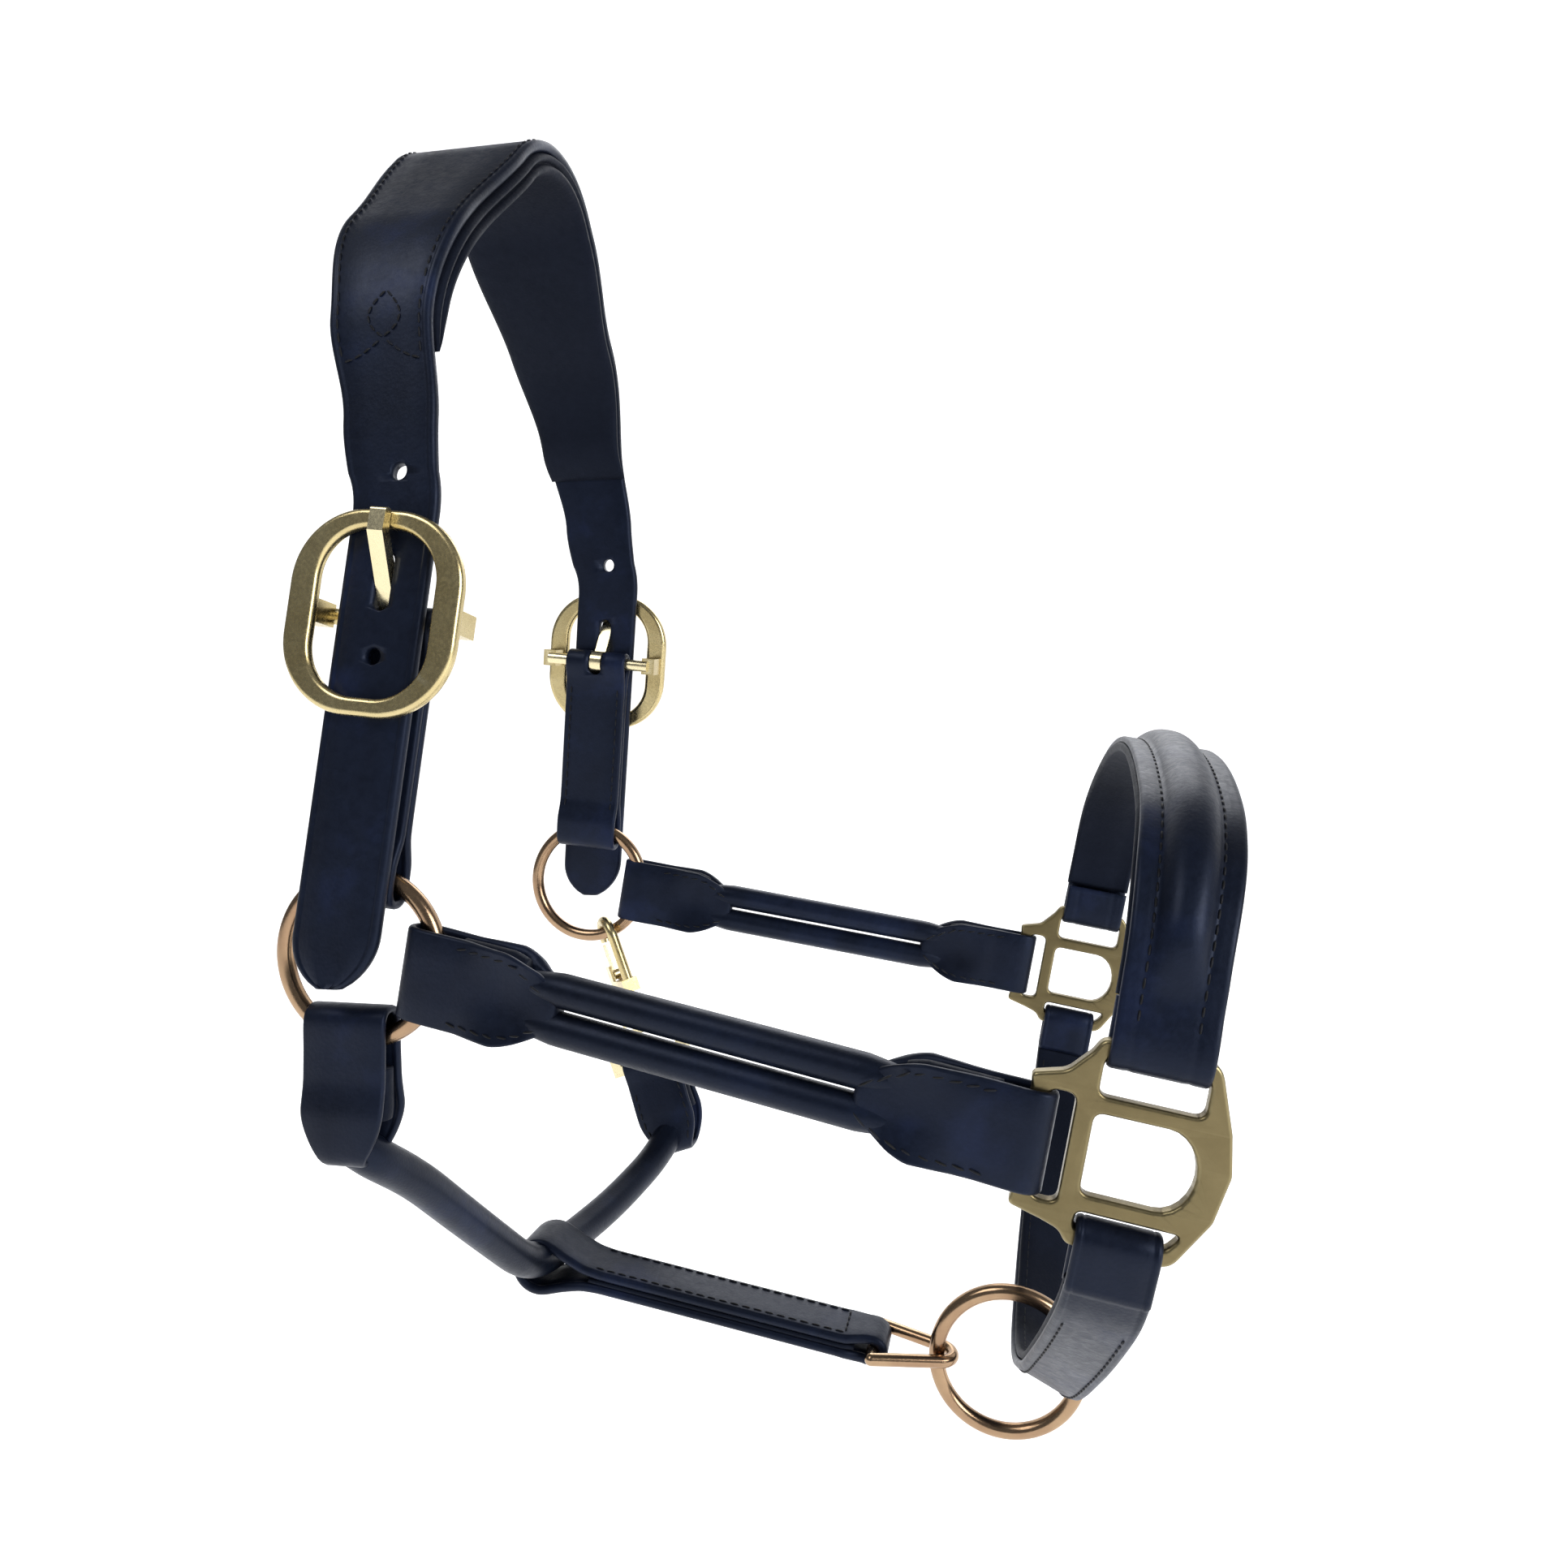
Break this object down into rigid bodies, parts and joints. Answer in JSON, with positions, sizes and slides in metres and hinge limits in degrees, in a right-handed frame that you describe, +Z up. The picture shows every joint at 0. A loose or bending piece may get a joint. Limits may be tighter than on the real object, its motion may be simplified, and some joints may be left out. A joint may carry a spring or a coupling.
{
  "type": "horse headcollar",
  "caption": "Leather horse headcollar with a padded crown, buckled cheeks on rings, twin rolled cheekpieces, a padded noseband, a chin ring and a clip-on throat lash.",
  "frame": {"origin": "where the poll padding's lining rests on the horse's poll, on the middle line", "axes": "+X towards the nose, +Y to the horse's left, +Z up"},
  "size_m": [0.244, 0.2196, 0.4162],
  "materials": {
    "strap_leather": "satin",
    "lining_leather": "satin",
    "rolled_leather": "satin",
    "felt_padding": "matte",
    "cord": "matte",
    "cast_brass": "satin",
    "drawn_brass": "polished",
    "spring_steel": "bright"
  },
  "bodies": {
    "crown": {"crown_strap": "strap_leather", "poll_padding": "felt_padding", "poll_lining": "lining_leather", "right_chape": "strap_leather", "right_buckle_frame": "cast_brass", "left_chape": "strap_leather", "left_buckle_frame": "cast_brass"},
    "right_ring": {"right_cheek_ring": "drawn_brass"},
    "left_ring": {"left_cheek_ring": "drawn_brass"},
    "right_tongue": {"right_buckle_tongue": "cast_brass"},
    "left_tongue": {"left_buckle_tongue": "cast_brass"},
    "nose_frame": {"noseband_cover": "strap_leather", "noseband_padding": "felt_padding", "noseband_lining": "lining_leather", "chin_strap_outer": "strap_leather", "chin_strap_inner": "lining_leather", "right_cheek_rear_tab": "strap_leather", "right_cheek_upper_roll": "rolled_leather", "right_cheek_lower_roll": "rolled_leather", "right_cheek_upper_core": "cord", "right_cheek_lower_core": "cord", "right_cheek_front_tab": "strap_leather", "right_square": "cast_brass", "left_cheek_rear_tab": "strap_leather", "left_cheek_upper_roll": "rolled_leather", "left_cheek_lower_roll": "rolled_leather", "left_cheek_upper_core": "cord", "left_cheek_lower_core": "cord", "left_cheek_front_tab": "strap_leather", "left_square": "cast_brass"},
    "chin_ring_body": {"chin_ring": "drawn_brass"},
    "throat_lash": {"throat_roll": "rolled_leather", "throat_core": "cord", "throat_right_tab": "strap_leather", "throat_left_tab": "strap_leather", "clip_eye": "cast_brass"},
    "connector": {"connector_strap": "strap_leather"},
    "link": {"chin_link": "drawn_brass"},
    "clip": {"clip_hook": "cast_brass", "clip_gate_pin": "drawn_brass", "clip_spring": "spring_steel"},
    "gate": {"clip_gate": "cast_brass"}
  },
  "joints": [
    {"name": "nose_swing", "type": "hinge", "parent": "crown", "child": "nose_frame", "pos_m": [0, 0, -0.242], "axis": [0, 1, 0], "range_deg": [-10, 50]},
    {"name": "right_ring_spin", "type": "hinge", "parent": "crown", "child": "right_ring", "pos_m": [0, -0.085, -0.242], "axis": [0, 1, 0], "continuous": true},
    {"name": "left_ring_spin", "type": "hinge", "parent": "crown", "child": "left_ring", "pos_m": [0, 0.085, -0.242], "axis": [0, 1, 0], "continuous": true},
    {"name": "chin_ring_spin", "type": "hinge", "parent": "nose_frame", "child": "chin_ring_body", "pos_m": [0.172, 0, -0.3812], "axis": [0, 1, 0], "continuous": true},
    {"name": "throat_swing", "type": "hinge", "parent": "nose_frame", "child": "throat_lash", "pos_m": [0, 0, -0.242], "axis": [0, -1, 0], "range_deg": [0, 3.5]},
    {"name": "connector_swing", "type": "hinge", "parent": "throat_lash", "child": "connector", "pos_m": [0.017, 0, -0.361], "axis": [0, -1, 0], "range_deg": [-3.6, 0.1]},
    {"name": "link_tilt", "type": "hinge", "parent": "connector", "child": "link", "pos_m": [0.1296, 0, -0.37883], "axis": [0, 1, 0], "range_deg": [-4, 4]},
    {"name": "clip_swivel", "type": "hinge", "parent": "throat_lash", "child": "clip", "pos_m": [0, 0.085, -0.242], "axis": [-0.342, 0, 0.9397], "range_deg": [-50, 4]},
    {"name": "clip_gate_turn", "type": "hinge", "parent": "clip", "child": "gate", "pos_m": [0.00986, 0.09102, -0.28141], "axis": [0.7698, 0.5736, 0.2802], "range_deg": [0, 20], "stiffness_Nm_per_rad": 0.02, "springref_deg": -8.59},
    {"name": "right_tongue_turn", "type": "hinge", "parent": "crown", "child": "right_tongue", "pos_m": [0.00715, -0.07789, -0.15175], "axis": [0.9945, -0.0109, -0.104], "range_deg": [0, 10]},
    {"name": "left_tongue_turn", "type": "hinge", "parent": "crown", "child": "left_tongue", "pos_m": [0.00715, 0.07789, -0.15175], "axis": [-0.9945, -0.0109, 0.104], "range_deg": [0, 10]}
  ],
  "couplings": [
    {"joint": "connector_swing", "follows": "throat_swing", "ratio": -1}
  ]
}
